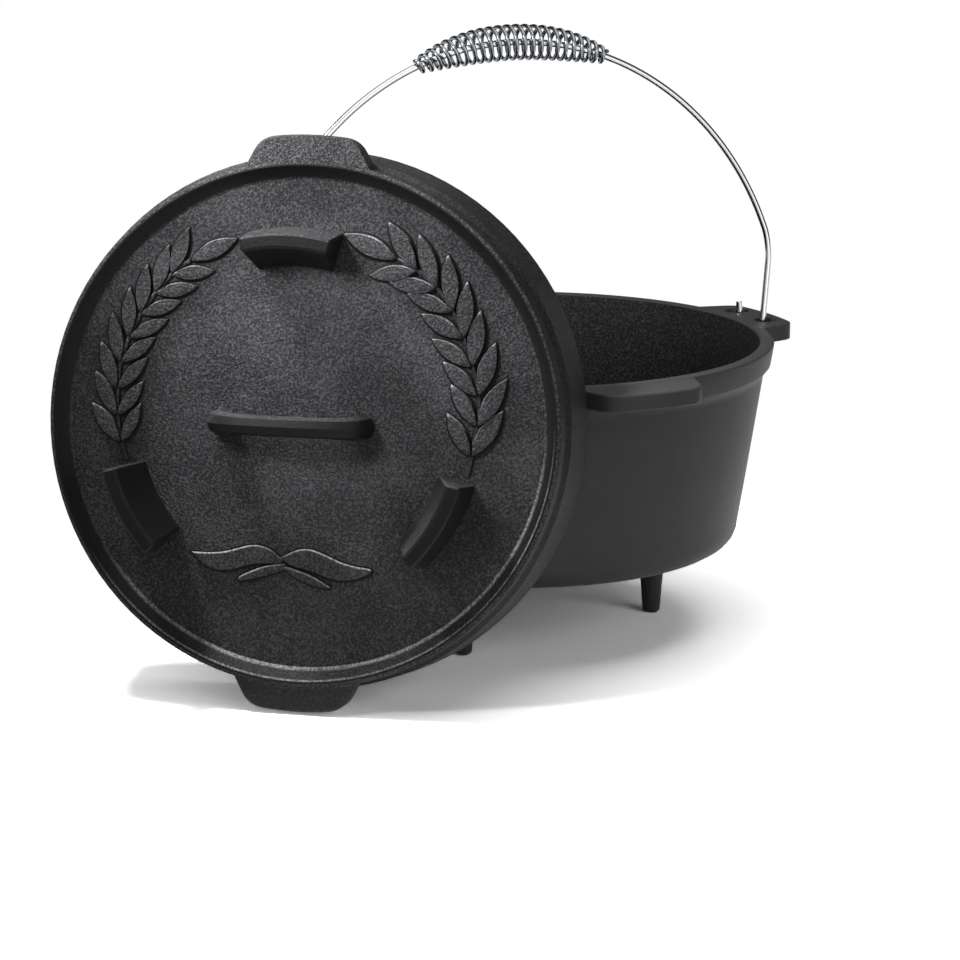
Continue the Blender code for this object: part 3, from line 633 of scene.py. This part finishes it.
# %% The two laurel branches
# Points of each branch in millimetres on the lid's face, from the stem's foot to the tip leaf.
LEFT_BRANCH = [(-104.4, -24.5), (-108.0, -15.3), (-110.6, 0.5), (-110.8, 16.8), (-109.4, 31.6),
               (-104.0, 46.0), (-97.6, 59.5), (-89.1, 71.5), (-79.5, 82.3), (-74.6, 87.3), (-69.0, 90.0)]
RIGHT_BRANCH = [(95.4, -24.0), (96.9, -13.2), (100.5, 3.1), (100.7, 20.0), (96.4, 36.8),
                (91.0, 52.2), (84.4, 67.4), (74.8, 80.0), (64.0, 88.8), (58.0, 92.0), (51.5, 94.8)]
OUTER_SPREAD, INNER_SPREAD = math.radians(23.0), math.radians(41.0)
on_face = lid_frame @ Matrix.Translation((0.0, 0.0, -FACE_DEPTH))
for side, route, size, crowding in (("left", LEFT_BRANCH, 1.03, 1.04), ("right", RIGHT_BRANCH, 1.14, 1.09)):
    outer_left = side == "left"
    settings = {"Leaf": leaf, "Pairs": 8, "Tip Size": 1.06 * size, "Crowding": crowding,
                "Stem Share": 0.075, "Stem Radius": 1.5 * MM,
                "Left Spread": OUTER_SPREAD if outer_left else INNER_SPREAD,
                "Right Spread": -INNER_SPREAD if outer_left else -OUTER_SPREAD,
                "Left Size": size if outer_left else 0.88 * size,
                "Right Size": 0.88 * size if outer_left else size}
    mesh = grow("laurel_" + side, laurel, poly_curve("branch_" + side, route), settings, on_face)
    finished_piece("laurel_" + side, mesh, "lid", relief_iron)

# %% [markdown]
# ## The flourish
#
# Under the middle of the lid two ribbons cross in a shallow flourish. Each half is a closed
# outline drawn in millimetres on the face, filled, raised and given a soft shoulder. A second,
# lower copy reaches a little further out, as the fillet that a pattern leaves at its foot.

# %% Crossed ribbons
RIBBONS = {
    "left_wing": [(-64.6, -75.4), (-53.6, -75.6), (-44.1, -74.2), (-36.3, -71.6), (-28.0, -69.3),
                  (-19.5, -70.6), (-12.0, -76.1), (-9.0, -80.0), (-24.0, -79.8), (-33.6, -82.4),
                  (-42.3, -85.6), (-51.8, -85.2), (-59.9, -81.4)],
    "right_wing": [(-12.0, -76.1), (-3.9, -71.2), (4.7, -70.0), (13.4, -72.8), (21.4, -76.4), (30.8, -78.9),
                   (43.3, -79.9), (38.7, -84.3), (27.1, -87.8), (16.9, -87.0), (7.4, -83.0), (-9.0, -80.0)],
    "left_tail": [(-10.0, -79.5), (-20.2, -80.7), (-28.8, -84.3), (-37.5, -88.6), (-35.8, -91.5),
                  (-24.0, -88.4), (-13.4, -84.6), (-7.0, -82.0)],
    "right_tail": [(-11.0, -80.5), (3.5, -84.0), (13.1, -88.8), (19.4, -92.7), (10.8, -92.0),
                   (1.3, -89.5), (-8.3, -84.7)],
}
RIBBON_HEIGHT = 2.6 * MM
RIBBON_SHOULDER = 1.0 * MM
RIBBON_FILLET = 0.9 * MM


def raised_outline(name, outline, height, shoulder, beyond=0.0):
    """A closed outline in millimetres as a filled mesh from Z = 0 up to its height."""
    curve = poly_curve(name, outline)
    curve.dimensions = '2D'
    curve.fill_mode = 'BOTH'
    curve.splines[0].use_cyclic_u = True
    curve.splines[0].resolution_u = 5
    curve.extrude = height - shoulder
    curve.bevel_depth = shoulder
    curve.bevel_resolution = 2
    curve.offset = beyond - shoulder
    helper = bpy.data.objects.new(name, curve)
    bpy.context.scene.collection.objects.link(helper)
    bpy.context.view_layer.update()
    mesh = bpy.data.meshes.new_from_object(helper.evaluated_get(bpy.context.evaluated_depsgraph_get()))
    bpy.data.objects.remove(helper, do_unlink=True)
    return mesh


work = bmesh.new()
for name, outline in RIBBONS.items():
    work.from_mesh(raised_outline(name, outline, RIBBON_HEIGHT, RIBBON_SHOULDER))
    work.from_mesh(raised_outline(name + "_foot", outline, 0.35 * MM, 0.1 * MM, RIBBON_FILLET))
flourish = bpy.data.meshes.new("flourish")
work.to_mesh(flourish)
work.free()
flourish.shade_smooth()
flourish.set_sharp_from_angle(angle=math.radians(50.0))
flourish.transform(on_face)
finished_piece("flourish", flourish, "lid", relief_iron)
print("flourish:", len(flourish.polygons), "faces")

# %% [markdown]
# ## The bail
#
# The bail is one wire. Each end drops through one hole of an ear, passes under the web
# between the holes and comes up through the other, so it can't slip out. The path is drawn
# in the bail's own plane: the middle is an arc, the legs are straight and lean in a little,
# and the hooks are half circles. It follows the CAD wire, with more points and more sides,
# because a mirror finish shows every facet.

# %% Bail path and wire
WIRE_RADIUS = 2.0 * MM
ARCH_RADIUS = 182.0 * MM
ARCH_RISE = 3.0 * MM
HOOK_RADIUS = 14.0 * MM
HOOK_TIP = 13.0 * MM
LEG_FOOT = 168.5 * MM
BEND_HIGH = math.radians(18.5)
BEND_LOW = math.asin(0.036 * 1.3 / 0.182)


def arch_point(angle, radius=ARCH_RADIUS):
    return Vector((radius * math.cos(angle), -HOOK_RADIUS, ARCH_RISE + radius * math.sin(angle)))


def bail_path():
    top, start = arch_point(BEND_HIGH), arch_point(BEND_LOW)
    foot = Vector((LEG_FOOT, -HOOK_RADIUS, 0.0))
    knee = foot.lerp(start, 0.72)
    half = [Vector((LEG_FOOT, HOOK_RADIUS, HOOK_TIP * t)) for t in (1.0, 0.97, 0.5)]
    for i in range(25):
        a = math.pi * i / 24
        half.append(Vector((LEG_FOOT, HOOK_RADIUS * math.cos(a), -HOOK_RADIUS * math.sin(a))))
    half += [foot.lerp(knee, t) for t in (0.33, 0.66)]
    for i in range(13):
        t = i / 12
        half.append(knee * (1 - t) ** 2 + start * 2 * t * (1 - t) + top * t ** 2)
    arc = [arch_point(BEND_HIGH + (math.pi - 2 * BEND_HIGH) * i / 90) for i in range(1, 90)]
    return half + arc + [Vector((-p.x, p.y, p.z)) for p in reversed(half)]


def tube_mesh(name, points, radius, sides, matrix, radii=None):
    """A round tube with closed ends along a path, as a plain mesh in its place."""
    curve = bpy.data.curves.new(name, 'CURVE')
    curve.dimensions = '3D'
    curve.bevel_depth = radius
    curve.bevel_resolution = sides
    curve.use_fill_caps = True
    spline = curve.splines.new('POLY')
    spline.points.add(len(points) - 1)
    for i, p in enumerate(points):
        spline.points[i].co = (*p, 1.0)
        spline.points[i].radius = 1.0 if radii is None else radii[i]
    helper = bpy.data.objects.new(name, curve)
    bpy.context.scene.collection.objects.link(helper)
    bpy.context.view_layer.update()
    mesh = bpy.data.meshes.new_from_object(helper.evaluated_get(bpy.context.evaluated_depsgraph_get()))
    bpy.data.objects.remove(helper, do_unlink=True)
    mesh.transform(matrix)
    mesh.shade_smooth()
    mesh.set_sharp_from_angle(angle=math.radians(50.0))
    return mesh


path = bail_path()
END_ROUND = [0.72, 1.0] + [1.0] * (len(path) - 4) + [1.0, 0.72]
bail_mesh = tube_mesh("bail", path, WIRE_RADIUS, 6, bail_frame, END_ROUND)
finished_piece("bail", bail_mesh, "bail", wire_plating, ["bail_wire"])
print("bail:", len(path), "points,", len(bail_mesh.polygons), "faces")

# %% [markdown]
# ## The spring grip
#
# The grip is a barrel spring: a helix whose radius swells in the middle and closes on the
# bail at its ends, bent round the bail's arc. That is a rule, so Geometry Nodes draw it. The
# Spiral node gives a straight helix of radius one. Each point is then moved by three steps:
# its height gives its share of the length, that share gives the barrel's radius there, and
# the same share gives the angle on the arc that the point is carried to.

# %% Geometry Nodes for a barrel spring on an arc
def spring_tree(finish):
    tree = bpy.data.node_groups.new("barrel_spring", 'GeometryNodeTree')
    face = tree.interface
    face.new_socket("Geometry", in_out='INPUT', socket_type='NodeSocketGeometry')
    for name, value in (("Curls", 23.0), ("Length", 0.131), ("Arch Radius", 0.182), ("Arch Rise", 0.003),
                        ("Plane Offset", -0.014), ("End Radius", 0.00355), ("Middle Radius", 0.00985),
                        ("Barrel Power", 2.6), ("Wire Radius", 0.00125)):
        face.new_socket(name, in_out='INPUT', socket_type='NodeSocketFloat').default_value = value
    face.new_socket("Spring", in_out='OUTPUT', socket_type='NodeSocketGeometry')
    given = add(tree, "NodeGroupInput").outputs
    helix = add(tree, "GeometryNodeCurveSpiral", {"Resolution": 24, "Rotations": given["Curls"],
                                                  "Start Radius": 1.0, "End Radius": 1.0,
                                                  "Height": 1.0})
    spot = add(tree, "GeometryNodeInputPosition")
    parts = add(tree, "ShaderNodeSeparateXYZ", {0: spot.outputs[0]})
    share = add(tree, "ShaderNodeMapRange", {"Value": parts.outputs[2], "To Min": 1.0, "To Max": -1.0})
    away = add(tree, "ShaderNodeMath", {0: share.outputs[0]}, operation='ABSOLUTE')
    drop = add(tree, "ShaderNodeMath", {0: away.outputs[0], 1: given["Barrel Power"]}, operation='POWER')
    barrel = add(tree, "ShaderNodeMapRange", {"Value": drop.outputs[0], "To Min": given["Middle Radius"],
                                              "To Max": given["End Radius"]})
    out_r = add(tree, "ShaderNodeMath", {0: parts.outputs[0], 1: barrel.outputs[0], 2: given["Arch Radius"]},
                operation='MULTIPLY_ADD')
    side = add(tree, "ShaderNodeMath", {0: parts.outputs[1], 1: barrel.outputs[0], 2: given["Plane Offset"]},
               operation='MULTIPLY_ADD')
    span = add(tree, "ShaderNodeMath", {0: given["Length"], 1: given["Arch Radius"]}, operation='DIVIDE')
    half = add(tree, "ShaderNodeMath", {0: span.outputs[0], 1: 0.5}, operation='MULTIPLY')
    angle = add(tree, "ShaderNodeMath", {0: share.outputs[0], 1: half.outputs[0], 2: math.pi / 2.0},
                operation='MULTIPLY_ADD')
    cosine = add(tree, "ShaderNodeMath", {0: angle.outputs[0]}, operation='COSINE')
    sine = add(tree, "ShaderNodeMath", {0: angle.outputs[0]}, operation='SINE')
    x = add(tree, "ShaderNodeMath", {0: cosine.outputs[0], 1: out_r.outputs[0]}, operation='MULTIPLY')
    z = add(tree, "ShaderNodeMath", {0: sine.outputs[0], 1: out_r.outputs[0], 2: given["Arch Rise"]},
            operation='MULTIPLY_ADD')
    bent = add(tree, "ShaderNodeCombineXYZ", {0: x.outputs[0], 1: side.outputs[0], 2: z.outputs[0]})
    wound = add(tree, "GeometryNodeSetPosition", {"Geometry": helix.outputs[0], "Position": bent.outputs[0]})
    rod = add(tree, "GeometryNodeCurvePrimitiveCircle", {"Resolution": 10, "Radius": given["Wire Radius"]})
    wire = add(tree, "GeometryNodeCurveToMesh", {"Curve": wound.outputs[0], "Profile Curve": rod.outputs[0],
                                                 "Fill Caps": True})
    round_wire = add(tree, "GeometryNodeSetShadeSmooth", {0: wire.outputs[0]})
    real = add(tree, "GeometryNodeRealizeInstances", {"Geometry": round_wire.outputs[0]})
    painted = add(tree, "GeometryNodeSetMaterial", {"Geometry": real.outputs[0], "Material": finish})
    out = add(tree, "NodeGroupOutput")
    tree.links.new(painted.outputs[0], out.inputs[0])
    return tree


# %% The grip on the bail
spring_settings = {"Curls": 23.0, "Length": 131.0 * MM, "Arch Radius": ARCH_RADIUS, "Arch Rise": ARCH_RISE,
                   "Plane Offset": -HOOK_RADIUS, "End Radius": 3.55 * MM, "Middle Radius": 9.85 * MM,
                   "Barrel Power": 2.6, "Wire Radius": 1.25 * MM}
spring_mesh = grow("spring_coils", spring_tree(spring_plating), poly_curve("spring_seed", [(0, 0), (1, 0)]),
                   spring_settings, bail_frame)
spring_mesh.shade_smooth()
finished_piece("spring_coils", spring_mesh, "bail", spring_plating, ["spring_grip"])

# %% [markdown]
# ## The floor
#
# The oven stands on a plain pale floor that fades into the white behind it. Near the object
# the floor is lit, so it keeps the soft shadow that seats the pot and the lid. The camera sees
# the paper brighter than it is, so that it comes out white without more light on the iron.
# Further out it is plain white, until it can't be told from the background.

# %% Floor
SHADOW_CENTRE = (0.12, 0.03, 0.0)
SHADOW_REACH = 0.21
WHITE_FROM = 0.43
FLOOR_GAIN = 3.4


def pale_floor():
    mesh = bpy.data.meshes.new("floor")
    half = 8.0
    corners = [(-half, -half, 0), (half, -half, 0), (half, half, 0), (-half, half, 0)]
    mesh.from_pydata(corners, [], [(0, 1, 2, 3)])
    floor = bpy.data.objects.new("floor", mesh)
    bpy.context.scene.collection.objects.link(floor)
    floor.location.z = -0.0002
    finish = bpy.data.materials.new("white_paper_sweep")
    finish.use_nodes = True
    tree = finish.node_tree
    out = tree.nodes["Material Output"]
    tree.nodes.remove(tree.nodes["Principled BSDF"])
    seen = add(tree, "ShaderNodeLightPath").outputs
    place = add(tree, "ShaderNodeTexCoord").outputs["Object"]
    away = add(tree, "ShaderNodeVectorMath", {0: place, 1: SHADOW_CENTRE}, operation='DISTANCE')
    fade = add(tree, "ShaderNodeMapRange", {"Value": away.outputs["Value"], "From Min": SHADOW_REACH,
                                            "From Max": WHITE_FROM},
               interpolation_type='SMOOTHSTEP')
    mirrored = add(tree, "ShaderNodeMath", {0: seen["Is Camera Ray"], 1: seen["Is Glossy Ray"]},
                   operation='MAXIMUM')
    any_view = add(tree, "ShaderNodeMath", {0: mirrored.outputs[0], 1: seen["Is Transmission Ray"]},
                   operation='MAXIMUM')
    paper = add(tree, "ShaderNodeMix", {0: any_view.outputs[0], 6: linear("#A8A8A8"),
                                        7: (FLOOR_GAIN, FLOOR_GAIN, FLOOR_GAIN, 1.0)}, data_type='RGBA')
    lit = add(tree, "ShaderNodeBsdfDiffuse", {"Color": paper.outputs[2]})
    white = add(tree, "ShaderNodeEmission", {"Color": linear("#FFFFFF"), "Strength": 1.0})
    share = add(tree, "ShaderNodeMath", {0: any_view.outputs[0], 1: fade.outputs[0]}, operation='MULTIPLY')
    mix = add(tree, "ShaderNodeMixShader", {0: share.outputs[0], 1: lit.outputs[0], 2: white.outputs[0]})
    tree.links.new(mix.outputs[0], out.inputs["Surface"])
    mesh.materials.append(finish)
    return floor


print("stage:", pale_floor().name)

# %% [markdown]
# ## Studio light
#
# The photograph is lit from above and a little in front, from the upper left of the lid. Two
# lamps do that: one close above the lid, so that its top is twice as bright as its foot, and one
# that grazes the face and throws the legs, the loop and the leaves into relief. A soft light
# straight above seats the pot, and a weak one from the right keeps its side from going black.
# The world adds a low even fill, and it is plain white where the camera looks at it. Bright metal mirrors the studio: the white sweep straight behind the
# oven, a wide white card round the camera, and the dark room between them, which draws the
# dark line along each edge of the wire.

# %% Lamps and world
def studio_lamp(name, kind, from_point, aim, power, size, cone=0.0):
    """An area lamp of a given size, or a spot whose cone fades smoothly to its edge."""
    data = bpy.data.lights.new(name, kind)
    data.energy = power
    if kind == 'SPOT':
        data.spot_size = cone
        data.spot_blend = 1.0
        data.shadow_soft_size = size
    else:
        data.shape = 'DISK'
        data.size = size
    lamp = bpy.data.objects.new(name, data)
    bpy.context.scene.collection.objects.link(lamp)
    lamp.location = from_point
    lamp.rotation_euler = (Vector(aim) - Vector(from_point)).to_track_quat('-Z', 'Y').to_euler()
    lamp.visible_camera = False
    return lamp


def from_lid(x, up, out):
    return lid_frame @ Vector((x, up, out))


studio_lamp("key_over_lid", 'SPOT', from_lid(-0.19, 0.29, 0.32), from_lid(0.0, 0.12, 0.0), 15.6, 0.09,
            math.radians(45.0))
studio_lamp("grazing_lid", 'SPOT', from_lid(-0.30, 0.60, 0.08), from_lid(0.02, 0.0, 0.0), 37.0, 0.06,
            math.radians(40.0))
studio_lamp("top_soft", 'AREA', (0.15, 0.1, 1.4), (0.05, 0.05, 0.1), 9.0, 1.6)
studio_lamp("fill_right", 'AREA', (1.7, -1.1, 0.7), (0.1, 0.0, 0.15), 8.5, 1.5)


def studio_world():
    world = bpy.data.worlds.new("studio")
    bpy.context.scene.world = world
    world.use_nodes = True
    tree = world.node_tree
    tree.nodes.clear()
    seen = add(tree, "ShaderNodeLightPath").outputs
    mirrored = add(tree, "ShaderNodeMath", {0: seen["Is Camera Ray"], 1: seen["Is Glossy Ray"]},
                   operation='MAXIMUM')
    any_view = add(tree, "ShaderNodeMath", {0: mirrored.outputs[0], 1: seen["Is Transmission Ray"]},
                   operation='MAXIMUM')
    looking = add(tree, "ShaderNodeTexCoord").outputs["Generated"]
    toward = add(tree, "ShaderNodeVectorMath", {0: looking, 1: -VIEW_DIRECTION.normalized()},
                 operation='DOT_PRODUCT')
    card = add(tree, "ShaderNodeMapRange", {"Value": toward.outputs["Value"], "From Min": 0.0,
                                            "From Max": 0.85, "To Min": 0.04, "To Max": 1.0})
    sweep = add(tree, "ShaderNodeMath", {0: toward.outputs["Value"], 1: -0.96}, operation='LESS_THAN')
    plain = add(tree, "ShaderNodeMath", {0: seen["Is Camera Ray"], 1: seen["Is Transmission Ray"]},
                operation='MAXIMUM')
    sweep_or_plain = add(tree, "ShaderNodeMath", {0: sweep.outputs[0], 1: plain.outputs[0]},
                         operation='MAXIMUM')
    level = add(tree, "ShaderNodeMath", {0: card.outputs[0], 1: sweep_or_plain.outputs[0]},
                operation='MAXIMUM')
    fill = add(tree, "ShaderNodeBackground", {"Color": linear("#FFFFFF"), "Strength": 0.055})
    white = add(tree, "ShaderNodeBackground", {"Color": linear("#FFFFFF"), "Strength": level.outputs[0]})
    mix = add(tree, "ShaderNodeMixShader", {0: any_view.outputs[0], 1: fill.outputs[0], 2: white.outputs[0]})
    out = add(tree, "ShaderNodeOutputWorld")
    tree.links.new(mix.outputs[0], out.inputs["Surface"])


studio_world()
bpy.context.scene.view_settings.view_transform = 'Standard'
print("lamps:", [light.name for light in bpy.data.lights])
